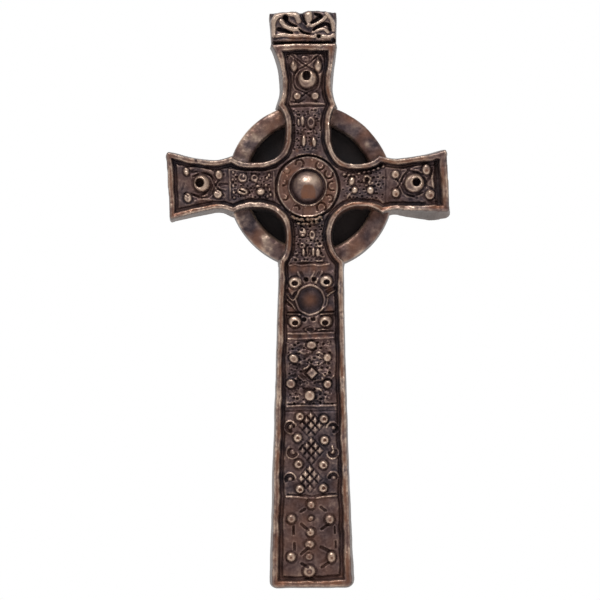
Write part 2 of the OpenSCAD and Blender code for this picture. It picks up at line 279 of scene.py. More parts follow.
def score(points, wide, deep):
    """A groove drawn along a line with a round-ended tool: one width, or several from end to end."""
    here, distance, place = line_distance(points, np.max(wide))
    across = 2 * distance / np.interp(place, np.linspace(0, 1, np.size(wide)), np.atleast_1d(wide))
    height[here] -= deep * np.clip(1 - across ** 2, 0, 1) ** 0.7


def strands(*lines):
    """Rolls along smooth lines: each line is its points, then its width and its rise."""
    for *points, wide, rise in lines:
        roll(curve(*points), wide, rise)


def grooves(*lines):
    """Grooves along smooth lines: each line is its points, then its width and its depth."""
    for *points, wide, deep in lines:
        score(curve(*points), wide, deep)


def redden(x, z, size, amount):
    """A spot where the coppery ground of the patina shows."""
    here = near(x, x, z, z, 3 * size)
    spot = amount * np.exp(-((X[here] - x) ** 2 + (Z[here] - z) ** 2) / size ** 2)
    copper[here] = np.maximum(copper[here], spot)


def pellet(x, z, wide, tall, rise, turn=0.0, crown=2.2, crease=0.6, ground=panel_h, flat=1.3):
    """A pellet of clay pressed on: half-widths wide and tall, with a dark crease round its foot.

    Under 1, flat is the share of its rise at which a thumb has flattened its crown.
    """
    size = max(wide, tall)
    here = near(x, x, z, z, 2 * size)
    u, v = turned(X[here] - x, Z[here] - z, -turn)
    lopsided = 1 + 0.1 * math.sin(7.1 * x + 3.3 * z) * (u / wide) + 0.08 * math.cos(5.3 * z) * (v / tall)
    out = np.hypot(u / wide, v / tall) * lopsided
    dome = ground + rise * np.clip(1 - out ** crown, 0, 1) ** 0.55
    dome = np.minimum(dome, ground + rise * (flat + 0.16 * u / wide + 0.2 * v / tall))
    around = 0.5 * crease * np.exp(-((out - 1.1) * size / 0.34) ** 2)
    height[here] = np.where(out < 1, dome, height[here] - around)


def pellets(*rows, **looks):
    """Pellets of one look: each row is a place, the half-widths, the rise and sometimes a turn."""
    for row in rows:
        pellet(*row, **looks)


def poke(x, z, wide, tall, deep, lip=0.0):
    """A hole poked with a pointed tool, with the clay it pushes up round it."""
    here = near(x, x, z, z, 2.5 * max(wide, tall))
    out = np.hypot((X[here] - x) / wide, (Z[here] - z) / tall)
    height[here] += lip * np.exp(-((out - 1.3) / 0.3) ** 2) - deep * np.clip(1 - out ** 2, 0, 1) ** 0.5


# ---------------- collar and boss
# A smooth dome in a moat with a thin rim, on a flat collar. The collar carries small curls drawn
# with a fine tool, and a thin bead runs round it. All of one piece with the limbs.
dome_r = 6.4
collar_r = 12.2
groove_r = 13.1
dome_foot = panel_h - 0.15
dome_rise = -low.y - dome_foot
collar_section = [
    (dome_r, dome_foot), (6.8, dome_foot - 0.1), (7, dome_foot + 0.6), (7.25, rim_h - 0.75),
    (7.55, rim_h - 0.75), (7.85, panel_h + 0.75), (11.2, panel_h + 0.65), (11.5, panel_h + 0.75),
    (11.75, panel_h + 1.05), (12, panel_h + 0.9), (collar_r, panel_h), (12.45, panel_h - 1.2),
    (12.75, panel_h - 1.1), (groove_r, panel_h),
]
from_boss = np.hypot(X, Z) + 0.12 * unevenness(5)
ball_r = (dome_r ** 2 + dome_rise ** 2) / (2 * dome_rise)
dome = -low.y - ball_r + np.sqrt(np.clip(ball_r ** 2 - from_boss ** 2, 0, None))
dome = np.minimum(dome, -low.y - 0.25 + 0.42 * (Z + 1.4) + 0.1 * np.abs(X - 0.3))
collar = np.interp(from_boss, *zip(*collar_section))
collar += np.where((from_boss > 7) & (from_boss < 12), 0.07 * unevenness(1.6), 0)
height = np.where(from_boss < dome_r, dome, np.where(from_boss < collar_r, collar, height))
in_groove = (from_boss >= collar_r) & (from_boss < groove_r)
height = np.where(in_groove, np.minimum(collar, height), height)
copper = np.where((from_boss > 7.9) & (from_boss < 11.4), 0.45 + 0.35 * blush, copper)
facet = (np.abs(X - 0.2) < 2.8 - 0.55 * np.clip(Z + 1.6, 0, 9)) & (Z < 0.6) & (Z > -4.6)
copper = np.where(from_boss < dome_r, 0.1 + 1.3 * softened(facet.astype(float), 0.25), copper)

# The curls, as their angle round the collar, the size and start of each hook, and how far it turns.
for angle, size, start, sweep in (
    (108, 1.4, 200, 250), (59, 1.5, 60, 240), (30, 1.5, 100, 250), (1, 1.6, 80, 210), (-29, 1.3, -60, 220),
    (-57, 1.6, 20, 260), (-118, 1.1, 100, 150), (168, 1.2, 90, 130), (204, 1, 30, 160),
):
    x, z = turned(9.8, 0, angle)
    score(arc(x, z, size * 1.12, start + angle, start + angle + sweep), 0.75, 0.75)
    roll(arc(x, z, size * 1.12 - 0.6, start + angle, start + angle + sweep), 0.7, 0.4)
grooves(
    ((-1.9, -11.4), (-2.1, -9.6), (-1.7, -8.2), 0.6, 0.35),
    ((-6.6, -9.2), (-5.9, -7.4), (-5.3, -6.2), 0.5, 0.4),
)
roll(arc(9.5, -3, 2.6, 150, 215), 0.6, 0.3)
roll(arc(0, 0, 7.5, 195, 335), (0.5, 1, 0.8, 1.1, 0.5), 0.4)
roll(arc(0, 0, 10.8, -72, -38), 0.6, 0.3)
roll(arc(0, 0, 10.6, 142, 178), 0.5, 0.25)
score(arc(0, 0, 9.6, 176, 196), 0.8, 0.3)
pellet(-8, 6.5, 1.35, 1.2, 0.7, ground=panel_h + 0.7, crease=0.45)
for x, z in ((-8.1, 4.2), (-11.6, 0.9), (-9.6, 5.4), (-1, -8.1), (4.6, -7.4), (1.9, 10.6)):
    pellet(x, z, 0.5, 0.4, 0.35, ground=panel_h + 0.8, crease=0.15)
roll(arc(0, 0, 13.1, 64, 110), 0.9, 0.9)
score(arc(0, 0, 12.45, 68, 106), 0.8, 0.5)

# ---------------- outer panels of the short limbs
# Each has a large ring-boss with a deep eye, four studs round it, and two thin strands that cross
# before and behind it. Studs are pellets of clay pressed on with a fingertip, and the strands are
# left between scored lines.
wire = 0.75
for turn, middle in ((0, 42.2), (90, 42.9), (180, 42.1)):
    lean = 1.2 if turn == 180 else 0.7 if turn == 0 else 0.2
    for hand in (-1, 1):
        path = [(10, 5.4), (5.9, 0.4), (3.6, -3.6), (0, -4.9), (-3.4, -3.9), (-5.4, 0), (-8.6, 4.2)]
        path = path if turn == 90 else path[2:]
        line = [turned(middle + u, hand * v, turn) for u, v in path]
        line = curve(*[(x, z + lean) if turn != 90 else (x - 0.1, z) for x, z in line])
        roll(line, 2.2, 0.35)
        score(line, wire, 0.85)

# Upper arm.
pellet(0.3, 43, 3.9, 3.8, 2.3, crown=2.8, crease=0.8, flat=0.9)
poke(0.2, 44.5, 1.6, 2, 4.2, 0.3)
pellets((-5, 48.3, 1.5, 2.3, 1.8, 4), (4.8, 48.4, 1.6, 2.5, 1.8, -3), crease=0.8)
strands(((-5, 51.3), (-5.1, 49), (0.5, 1.4), 0.9), ((4.8, 51.8), (4.9, 49.2), (0.5, 1.5), 0.9))
pellets((-3.7, 36.3, 1.65, 1.55, 1.6), (3.7, 36.3, 1.7, 1.65, 1.7), crown=2.6, flat=0.85)
redden(-3.5, 36, 0.9, 1)
redden(3.8, 36, 0.8, 0.6)
pellet(-0.3, 51.4, 1.9, 1.3, 0.9, turn=-15)
strands(
    ((-7.5, 52.9), (-5.5, 53.3), (-3.8, 52.8), 0.9, 0.5), ((2, 52.7), (4.5, 53.1), (6.5, 52.6), 0.9, 0.5),
    ((-5.5, 46), (-5.3, 43), (-5, 39.8), 0.9, 0.35), ((5.8, 46), (5.6, 43), (4.9, 39.6), 0.9, 0.35),
)
grooves(
    ((-6.3, 34.3), (-3.5, 34), (-0.8, 34.9), 0.8, 0.6), ((1.9, 34.8), (3.5, 34), (5.2, 34.2), 0.8, 0.6),
)
poke(-0.1, 51.3, 0.7, 0.55, 0.45)
roll(arc(-5.4, 50.3, 2.1, 40, 190), 1, 0.5)
roll(arc(4.6, 50.5, 2.3, -10, 150), 1, 0.5)

# Left arm.
pellet(-42, 1.7, 3.3, 3.4, 2.3, crown=3, crease=0.8, flat=0.85)
poke(-43, 2.2, 1.7, 1.8, 4.2, 0.3)
pellet(-48.2, 6.8, 1.3, 1.8, 1.8, turn=12, crease=0.7)
score([(-49, 7.4), (-47.2, 6.9)], 0.5, 0.5)
pellet(-35.4, 5.2, 1.55, 1.95, 1.9, turn=14, crown=2.8, crease=0.7, flat=0.78)
redden(-35.1, 4.8, 0.9, 0.9)
pellet(-47.7, -3.5, 1.6, 2, 1.9, turn=20, crown=2.8, crease=0.7, flat=0.85)
score([(-49, -2), (-47.4, -3.2)], 0.6, 0.8)
pellet(-35.7, -2.3, 1.8, 1.75, 1.9, turn=-15, crown=3.4, crease=0.7, flat=0.75)
strands(
    ((-46.8, 8.1), (-43.8, 8.7), (-39.5, 7.3), (-37.4, 6.2), 1.5, 0.65),
    ((-45, -5), (-42, -4.4), (-38.6, -4.7), 1.1, 0.45), ((-34.9, 0.2), (-32.8, -0.6), 0.9, 0.5),
    ((-48.6, 12.9), (-45.8, 12.1), (1.2, 2), 0.4),
    ((-44, 11.9), (-41.6, 11.2), (-39, 10.7), (1.2, 0.6), 0.35),
)
grooves(
    ((-46, 6.8), (-42, 6.5), (-38.6, 5), (-36.8, 3), 1, 0.7),
    ((-32.2, 1.6), (-35.4, 1.5), (-38.2, 0.9), (-39.2, -2.4), 1.2, 0.8),
    ((-46.4, -2.2), (-43.2, -2.9), (-40, -0.9), 1.1, 0.8), ((-49.3, 2.4), (-50.1, -0.6), 0.8, 0.4),
    ((-44.9, 12.8), (-44.2, 10.6), 0.8, 0.7),
)
score([(-36.8, -1.2), (-35.4, -1.9), (-34.9, -0.6)], 0.5, 0.5)
redden(-42.5, -5.2, 2.2, 0.5)

# Right arm.
pellet(42.1, 0.6, 3.9, 3.9, 2.3, turn=-20, crown=3, crease=0.9, flat=0.85)
poke(43.4, 1.2, 1.6, 1.7, 4.2, 0.35)
for x, z, wide, tall in (
    (35, 4.6, 1.7, 1.7), (35.1, -3.1, 1.7, 1.9), (47.3, 6.2, 1.75, 2.2), (48.9, -3.8, 2.05, 2.1),
):
    pellet(x, z, wide, tall, 1.9, turn=z, crown=2.8, crease=0.7, flat=0.82)
    poke(x + 0.2, z - 0.5, 0.6, 0.55, 0.3)
    redden(x + 0.2, z - 0.4, 0.9, 1)
strands(
    ((48.3, -1.4), (48.7, -3.2), (0.5, 1.5), 0.5),
    ((37.6, 6.2), (41.1, 6.5), (43, 7.2), (45.8, 8.1), (50.4, 8.8), 1, 0.55),
    ((40.6, 5.2), (42.5, 6), (44.5, 6.1), 0.9, 0.4), ((50.2, 6.4), (49.6, 2.5), (50.3, -0.8), 1.2, 0.5),
    ((45.1, -6.6), (48.5, -7), (51.3, -7.2), 0.9, 0.5),
)
grooves(
    ((50, 7), (48.8, 3.4), (47, 0.4), (49.4, -1.4), 1.1, 0.7),
    ((51.7, 9.6), (51.3, 2), (51.8, -7.4), 2.3, 1), ((46, 3.4), (47, 1.6), (46.8, -0.6), 0.9, 0.7),
    ((38.4, -1.6), (40, -3.6), (43.6, -5), 1, 0.8),
    ((39.4, 4.6), (37.4, 2), (38.2, -0.8), 1, 0.7),
)
poke(40.3, 6.2, 0.7, 0.7, 1.1)

# ---------------- inner panels of the short limbs
# Between the collar and the outer panels the ground is stippled all over with a pointed tool, and
# four oval pellets sit on it: plain, ringed or split like a bean.


def stipple(x0, x1, z0, z1, spacing, r, deep):
    """Rows of small poked holes, set by hand, with the worm-like ridges they leave between them."""
    for i, z in enumerate(np.arange(z0, z1, spacing * 0.87)):
        for x in np.arange(x0 + (i % 2) * spacing / 2, x1, spacing):
            x_here, z_here = x + rng.normal(0, spacing * 0.17), z + rng.normal(0, spacing * 0.15)
            size = r * rng.uniform(0.7, 1.2)
            poke(x_here, z_here, size, size * rng.uniform(0.7, 1), deep * rng.uniform(0.6, 1.2), 0.28)


def ringed(x, z, wide, tall, rise=1.3, hole=0.5, turn=0.0, off=(0.0, 0.0)):
    """A pellet with a round hollow in its crown, off its middle."""
    pellet(x, z, wide, tall, rise, turn)
    poke(x + off[0], z + off[1], wide * hole, tall * hole, rise * 0.9)


# Upper arm.
stipple(-4.9, 5.6, 15.2, 31.6, 1.75, 0.5, 0.75)
score([(-6.2, 32.2), (7.2, 32.3)], 0.7, 0.5)
roll([(-6.6, 33.1), (0.2, 33.5), (7.4, 33.1)], 1, 0.65)
pellets((-3.2, 25.9, 0.75, 1.6, 1.1), (-1.7, 26.4, 1, 2.2, 1.3), crease=0.5)
ringed(1.7, 25.9, 1.75, 2.5, 1.2, 0.55)
pellets((-1.2, 18.3, 0.95, 2.5, 1.4, -4), (2.7, 18, 1.15, 2.2, 1.4, 5), crease=0.6)
score(curve((1.9, 19.5), (1.7, 18), (2.1, 16.6)), 0.6, 0.6)
pellets((-1.8, 22.7, 0.5, 0.6, 0.7), (3.3, 22.1, 0.5, 0.8, 0.7, 20))
roll(curve((5.2, 30.6), (5.6, 28.5), (5, 26), (5.3, 23.5)), 0.8, 0.4)
roll(arc(-4.5, 29.6, 1.1, 0, 300), 0.6, 0.4)
redden(1.8, 17.2, 0.9, 0.8)
redden(-4, 14.6, 0.9, 0.8)

# Left arm.
stipple(-29.6, -14.6, -3.6, 6.4, 1.75, 0.5, 0.75)
strands(
    ((-31.3, 7.4), (-27, 6.9), (-23.4, 6.6), (-17, 6.5), (-11.5, 7.6), 0.8, 0.6),
    ((-31.2, 7.2), (-30.9, 2), (-31, -4.2), 0.8, 0.5),
    ((-13.5, 6), (-13.3, 0.5), (-13.4, -5.2), 0.8, 0.5),
)
for x, z in ((-29.6, 6.2), (-29.8, 3.4), (-29.7, 0.7), (-29.5, -1.8), (-29.3, -3.9)):
    pellet(x, z, 0.6, 0.6, 0.7)
ringed(-26, 3.9, 1.9, 1.9, 1.2, 0.66, off=(0.1, 0.2))
pellet(-25.5, 4.5, 0.75, 0.7, 0.9, crease=0.2)
ringed(-21, 3.8, 1.65, 1.6, 1.3, 0.5, off=(-0.1, 0.1))
roll(curve((-20.6, 2.3), (-19.3, 2.6), (-19, 3.4)), 0.9, 0.6)
pellet(-26.1, -1.4, 2.3, 1.5, 1.6, turn=-8, flat=0.85)
score([(-27.3, -0.9), (-25.1, -1.8)], 0.8, 1.5)
pellet(-19.8, 0.5, 1.1, 0.7, 1, turn=-8)
pellet(-18.9, -1.8, 1.75, 1.6, 1.5, crown=3)
roll(curve((-23.1, -3.2), (-21.3, -4.2)), 0.7, 0.6)
score(curve((-20.4, -0.6), (-19, -0.9), (-17.6, -0.4)), 0.5, 0.5)
for x, z in ((-16.1, 3.9), (-16.6, 0.9), (-15.2, -0.9), (-14.9, -2.9), (-15.3, 4.9), (-16, -3.6)):
    pellet(x, z, 0.8, 0.6, 0.9, turn=30 * x)

# Right arm.
stipple(14.6, 30.2, -4.4, 5.6, 1.8, 0.52, 0.8)
for x, z in (
    (14.8, 4.8), (16.6, 4.5), (18.2, 4.6), (20.5, 5), (22.7, 5.5), (24.4, 5.9), (26.4, 6.3), (28.2, 7),
    (30.2, 7.7),
):
    pellet(x, z, 0.95, 0.55, 1.1, turn=14)
poke(29.4, 7.9, 0.5, 0.5, 1)
pellet(17.6, 2, 1.3, 1.9, 1.5, turn=-14)
roll(curve((22.4, 0.3), (24.2, 0.3), (26, 1.3)), 0.9, 0.9)
roll(arc(23.7, 2.6, 1.4, -60, 205), 1.1, 1.5)
poke(23.8, 2.5, 0.7, 0.7, 0.8)
pellet(18.8, -1.7, 1.35, 1.5, 1.6, turn=-20)
roll(curve((17.8, -2.4), (16.4, -3.4), (15.7, -4.6)), 1, 0.6)
pellet(25.1, -1.9, 1.55, 1.75, 1.5)
roll(curve((27.6, -4.6), (29.2, -6), (30, -7.8)), 1.1, 0.4)
score([(31.3, 6.5), (31, -6.5)], 0.6, 0.4)

# ---------------- top panel of the shaft
# The fourth inner panel, under the boss: a lacy bright-edged border of poked holes, a handful of
# ovals, and rolled strokes above a plain strip.
stipple(-5.4, 6, -29, -13.6, 1.7, 0.5, 0.85)
for x, z in (
    (-6.2, -11.9), (-4.6, -12.7), (-2.6, -13), (-0.2, -13), (1.6, -12.9), (3.2, -13), (4.8, -12.2),
):
    pellet(x, z, 1, 0.65, 2.2, crease=0.3)
for x, z in ((-3.9, -14.6), (-2, -14.8), (-0.2, -14.9), (1.5, -14.5), (3.4, -14.3)):
    pellet(x, z, 0.85, 0.55, 2, crease=0.3)
roll([
    (-6.5, -11.6), (-5.4, -13.3), (-4.2, -12.5), (-3.2, -14.1), (-2.2, -12.8), (-1.1, -14.3), (0, -12.9),
    (1.1, -14.3), (2.2, -12.8), (3.3, -14.1), (4.6, -12.1), (5.6, -13.1)], 0.8, 1)
for x, z in (
    (-5.2, -13.4), (-3.2, -13.9), (-1.1, -13.9), (0.7, -14), (2.3, -13.8), (3.9, -13.6), (-2.9, -15.6),
    (0.6, -15.6),
):
    poke(x, z, 0.5, 0.4, 1.2)
ringed(-2.2, -17.9, 1.6, 1.9, 1.3, 0.4, off=(-0.4, 0.7))
pellet(-2.2, -19.3, 1.1, 0.7, 1.1)
ringed(1.5, -19.1, 1.3, 2, 1.2, 0.5)
ringed(-2.6, -23.4, 1.4, 1.3, 1.2, 0.5)
pellets(
    (-2, -26, 0.75, 1.7, 1.1), (-0.4, -25.4, 0.55, 1.6, 1.1), (1.9, -25.9, 0.8, 1.9, 1.3),
    (3.7, -26.2, 1.1, 1.9, 1.3),
)
for points in (
    ((-5.8, -26.8), (-4.4, -26.4)), ((-7.4, -28.8), (-6, -28), (-4.4, -28.7), (-2.8, -29.6)),
    ((-2, -29.4), (-0.3, -29.6)), ((4.7, -27.6), (6.2, -28)), ((3.4, -29.8), (5.6, -29.6)),
    ((3.2, -23.8), (4.6, -23.9), (5.6, -23.4)), ((-7.1, -28.9), (-8, -30), (-8.4, -31)),
):
    strands((*points, 0.9, 0.7))
roll(curve((-7.8, -31.4), (-5.4, -30.8), (-3.2, -31.4), (0.9, -31), (4.1, -31.5), (8.2, -30.9)), 0.8, 0.65)
score(curve((-7.4, -30.5), (-3, -30.5), (2, -30.3), (7.4, -30.2)), 0.7, 0.5)
for x in (-6, -2, 2, 6):
    redden(x, -32.3, 2.2, 0.7)

# ---------------- roundel panel
# Four eyed studs stand in the corners round a thin ring with a dished disc. Bands of strand run
# from the studs to the ring, with dark triangles cut between them.
roundel = (0.4, -45.1)
disc_r = 4.8
for x, z, wide, tall in (
    (-5.7, -38, 2.75, 2.4), (7, -37.7, 2.7, 2.5), (-5.7, -53.8, 2.6, 2.35), (6.2, -53.9, 2.6, 2.25),
):
    pellet(x, z, wide, tall, 2, crown=2.8, crease=0.8, flat=0.85)
    poke(x, z - 0.45, 1.25, 1, 2, 0.2)
for x, z in ((-1.2, -36.9), (2, -36.9), (-2.2, -52.9), (1.4, -52.7)):
    poke(x, z, 0.95, 0.9, 1.4, 0.2)
disc = np.hypot(X - roundel[0], (Z - roundel[1]) / 1.03)
octagon = disc * (1 - 0.014 * np.cos(8 * np.arctan2(Z - roundel[1], X - roundel[0]) + 0.4))
disc_section = [(0, -0.75), (2.2, -0.8), (4, -1), (4.7, -1.1), (5, -0.6), (5.35, 0.3), (5.7, 0.45),
                (6, 0.25), (6.3, -0.4), (6.7, -0.3), (7.1, 0)]
dished = panel_h + np.interp(octagon, *zip(*disc_section)) + 0.06 * unevenness(1.4)
height = np.where(octagon < 6.8, dished, height)
copper = np.where(octagon < disc_r, 0.8 * np.exp(-(disc / 2.6) ** 2), copper)
for hand in (-1, 1):
    for draw, line, wide, amount in (
        (score, ((4, -50.2), (6.2, -50.1), (9.2, -50)), 0.9, 1),
        (roll, ((4, -50.9), (6.2, -50.8), (9.2, -50.7)), 0.8, 1.2),
        (roll, ((4.8, -34.2), (3.8, -36.4), (2.1, -38.4)), 1.1, 0.6),
        (score, ((3.6, -34), (2.6, -35.8), (1.1, -37.6)), 0.8, 0.6),
    ):
        draw(curve(*[(roundel[0] + hand * u, z) for u, z in line]), wide, amount)
    for z in (-41, -49):
        redden(roundel[0] + hand * 7.6, z, 1.5, 0.7)
strands(
    ((0.7, -36.2), (1.4, -35.4), (2.2, -34), 0.8, 0.5),
    ((-8.9, -42.6), (-6.7, -45.2), (-5, -43.6), 0.8, 1.2),
    ((10.3, -41.6), (8.8, -42.4), (7.1, -43.7), 0.8, 1.4),
    ((-8.9, -45), (-7.4, -46.4), (-5.3, -49), 0.8, 0.9),
    ((7.3, -44.6), (6.6, -47.4), (4.4, -49.6), 0.8, 1), ((-9.2, -48.6), (-8.8, -44.9), 0.8, 0.4),
    ((9.9, -44.2), (10.1, -47.6), 0.8, 0.4), ((3, -57.4), (5, -56.9), (7.4, -57.2), 0.7, 0.8),
)
grooves(
    ((-8.9, -41.4), (-6.9, -44), (-5.4, -42.2), 1.5, 0.9), ((10, -40.5), (7.1, -41.9), 1.6, 0.9),
    ((-8.4, -46.6), (-7.2, -47.4), 1, 0.9),
    ((-2.6, -56.6), (-0.2, -55.6), (2.8, -56.6), (5, -56.4), 0.7, 0.7),
    ((-2.6, -57), (-0.2, -58.2), (2.8, -57.2), 0.7, 0.7),
)
poke(0.2, -56.9, 1.5, 0.85, 1.3, 0.45)
for z in (-58.5, -60.5):
    roll(curve((-9, z + 0.1), (-4, z - 0.1), (0.5, z + 0.05), (9.6, z + 0.2)), 0.8, 0.6)
score([(-8.8, -57.6), (9.4, -57.5)], 0.6, 0.5)
for x in (-6, -2, 2, 6):
    redden(x, -59.5, 1.6, 0.6)

# ---------------- diamond panel
# Stippled ground with worm-like ridges, six nugget-shaped studs round the edge and a single small
# diamond in a sunk moat, with chevrons of strand over it.
stipple(-8.4, 8.6, -86.4, -61.8, 2.3, 0.55, 0.8)
streaks = softened(rng.standard_normal(X.shape), 0.35)
streaks = np.roll(streaks, 2, axis=1) + streaks + np.roll(streaks, -2, axis=1)
here = near(-8, 8, -86, -62, 0.5)
height[here] += 0.32 * (streaks / streaks.std())[here]
for x, z, wide, tall, crown in (
    (0.6, -63.1, 2.1, 1.6, 4), (-6.6, -68.4, 2.1, 1.7, 3), (7, -68.2, 1.7, 1.6, 2.6),
    (-7.6, -78.4, 2, 1.9, 3), (6.9, -78.8, 1.7, 1.65, 2.6), (-0.4, -83, 2.2, 2.15, 2.8),
):
    pellet(x, z, wide, tall, 2.1, turn=5 * x, crown=crown, crease=0.8, flat=0.74)
    redden(x + 0.2, z - 0.2, 0.9, 0.8)
roll(curve((7.6, -77.4), (8.6, -76), (9.4, -75.4)), 0.9, 0.6)
diamond = np.abs(X - 0.6) + np.abs(Z + 74.3)
moat = 3.3
raised = panel_h + np.interp(diamond, [0, 0.5, 2.3, 2.5, 2.9, moat], [0.8, 1.7, 1.2, -0.5, -0.4, 0])
height = np.where(diamond < moat, raised, height)
for points in (
    ((-0.4, -70), (0.8, -70.5), (1.7, -71.4)), ((-2.8, -72.6), (-1.6, -72.2), (-0.4, -71.1)),
    ((2.1, -71.1), (3.5, -71), (4.7, -70.2)), ((3, -73.2), (4.6, -74.4), (5.8, -75.4)),
    ((-4.6, -75.4), (-3.4, -76.8), (-1.8, -77.2)), ((-3.6, -66), (-2.2, -66.6), (-0.6, -66.2)),
    ((2.4, -66.4), (3.8, -66), (5, -66.8)), ((2, -80), (3.6, -80.6), (4.6, -82)),
):
    strands((*points, 0.9, 0.7))
roll(curve((-9.6, -87.4), (-3, -87.1), (3, -87.4), (10.4, -87.1)), 0.8, 0.6)
score([(-9.4, -86.5), (10.2, -86.3)], 0.6, 0.5)

# ---------------- lattice panel
# Three lattices of nine lozenges run down the middle between pairs of eyed studs, and deep coils
# sit at both edges. The lozenges were left standing between crossed knife cuts.
lozenge_step = (1.72, 1.9)
lozenge_half = (1.55, 1.72)
lozenge_foot = 1.08
score([(-10.2, -89.3), (10.6, -89.3)], 0.7, 0.4)
for n, (x, z) in enumerate(((-0.1, -94.9), (-0.1, -105), (-0.8, -116.1))):
    for i in (-1, 0, 1):
        for j in (-1, 0, 1):
            lx, lz = x + (i - j) * lozenge_step[0], z + (i + j) * lozenge_step[1]
            here = near(lx, lx, lz, lz, 2.6)
            out = np.abs(X[here] - lx) / lozenge_half[0] + np.abs(Z[here] - lz) / lozenge_half[1]
            worn_down = (1.05 if i + j >= 0 else 0.7) * (0.7 if n == 2 and i - j > 0 else 1)
            strong = rng.uniform(0.75, 1.1) * worn_down
            lozenge = np.interp(out, [0, 0.35, 0.95, lozenge_foot], [1.7, 1.5, 0.75, 0])
            raised = panel_h - 0.55 + strong * lozenge
            height[here] = np.where(out < lozenge_foot, raised, height[here])
            cut = 0.4 * np.exp(-((out - 1.2) / 0.12) ** 2)
            height[here] -= np.where(out >= lozenge_foot, cut, 0)
for x, z in (
    (-4.4, -91.3), (5.2, -92.4), (-5.4, -99.8), (5.3, -100.8), (-5.1, -110.2), (4.8, -110.8), (-4.8, -120.3),
    (4.6, -119.8),
):
    pellet(x, z, 1.85, 1.8, 1.8, crown=2.6, crease=0.7, flat=0.85)
    poke(x + 0.1, z - 0.2, 0.75, 0.7, 0.75, 0.1)
    redden(x + 0.1, z - 0.2, 0.7, 1)
for x, z, start, sweep in (
    (-8.3, -95.6, 20, 260), (-7.6, -105.6, 120, 220), (-8.8, -116.2, 10, 200),
    (8.6, -96.2, 170, -250), (8.4, -105.8, 200, 190), (8.5, -116, 20, 160),
):
    score(arc(x, z, 1.5, start - 30, start + sweep), (0.6, 1.4, 1.1), 0.85)
    roll(arc(x, z, 2.5, start, start + sweep), (0.9, 0.7, 0.5), 0.6)
    pellet(x + 0.2, z + 0.1, 0.9, 0.7, 0.5, turn=start, crease=0.3)
strands(
    ((-7, -94), (-8.2, -94.8), (-8.6, -96), 1, 0.7),
    ((-9.6, -97.4), (-8.2, -98.4), (-7, -98.2), 0.8, 0.6),
    ((8.2, -103.4), (8.6, -105), (8, -106), 1, 0.7),
)
score(curve((-3.6, -102.8), (-4.6, -104.6)), 0.9, 0.8)

# ---------------- foot panel
# A string of studs down the middle and a pair at each side, tied by slanting slots with lips of
# pushed-up clay.
strands(
    ((-10.4, -123.1), (-6, -123.3), (-2, -123.9), 0.9, 0.7),
    ((1.6, -123.9), (5, -123.3), (9.8, -123), 0.9, 0.9),
)
score(curve((-9.8, -122.3), (-3, -122.5), (0, -123.2), (3, -122.5), (9.4, -122.2)), 0.7, 0.6)
for x, z, wide, tall, rise, turn in (
    (-0.4, -126.5, 1.75, 1.75, 1.6, 0), (-8.3, -131.8, 1.95, 1.95, 1.7, 0), (7, -132.4, 2, 2, 1.7, 0),
    (-0.7, -131.8, 1.3, 1, 1.1, 30), (-1, -137.3, 1.75, 1.8, 1.6, 0), (-1.1, -142, 2.15, 1.75, 1.7, 0),
    (-8.8, -146.9, 2, 2, 1.7, 0), (7.4, -147.2, 1.85, 2.3, 1.8, 0), (-1.4, -146.9, 1.6, 1.4, 0.8, 0),
    (-1.6, -152.7, 2.6, 2.5, 1.5, 0),
):
    pellet(x, z, wide, tall, rise, turn=turn, crown=2.4, crease=0.8)
    poke(x, z - 0.35, 0.55, 0.5, 0.35)
    redden(x, z - 0.3, 0.7, 0.7)
copper += np.interp(Z, [-124, -122], [0.22, 0])
poke(-1.6, -152.8, 1.3, 1.2, 0.5)
pellet(-1.6, -152.9, 0.6, 0.55, 0.6, ground=panel_h + 0.9, crease=0.3)
for points, wide in (
    (((-2.9, -128.1), (-4.5, -129.1)), 1.2), (((3.4, -127.4), (5.2, -128.8)), 1.2),
    (((-4.5, -134), (-1.7, -136.5)), 1.2), (((6.2, -134.3), (3.6, -136.1)), 1.2),
    (((-7.6, -134.9), (-7.6, -138)), 1), (((8.7, -135.2), (8.8, -137.9)), 0.7),
    (((-7.3, -141.5), (-7.3, -144.3)), 1), (((9, -141), (9, -143.7)), 0.8),
    (((-1.8, -143.4), (-4.6, -145.9)), 1.2), (((3.3, -143.3), (6.2, -144.8)), 1.5),
    (((-4.6, -149.6), (-2.1, -151.2)), 1.2), (((6, -149.5), (3.5, -151.2)), 1.2),
):
    roll(points, wide + 1.2, 0.2)
    score(points, wide, 1.05)

# ---------------- capstone
# A block set on the upper arm, carved with two facing coiled beasts: bold rounded strands with
# deep hollows between them, over a plain wavy band.
cap_foot = head_rise - cap_l
cap_top = head_rise + 0.35
cap_outline = curve(
    (-13.6, cap_foot), (-13.9, cap_foot + 6), (-14.3, cap_top - 1.1), (-13.6, cap_top - 0.3),
    (-9, cap_top - 0.1), (-4, cap_top + 0.2), (-2.4, cap_top - 0.3), (-1, cap_top - 0.2),
    (1.5, cap_top + 0.45), (6, cap_top + 0.35), (11.4, cap_top - 0.3), (12.5, cap_top - 1),
    (12.4, cap_foot + 6), (12.2, cap_foot),
)
cap_in = inside_distance(cap_outline)
neck_left = -12.7
neck_right = 11.2
neck_low = cap_foot - 1.6
neck_high = cap_foot + 1
bridge_in = inside_distance([
    (neck_left, neck_low), (neck_right, neck_low), (neck_right, neck_high), (neck_left, neck_high)])
cap_height = np.interp(cap_in, [0, 0.3, 0.8, 1.6], [rim_h - 2.1, rim_h - 1.1, rim_h - 0.5, rim_h - 0.2])
cap_height += 0.12 * unevenness(2.5)
master = height
height = cap_height
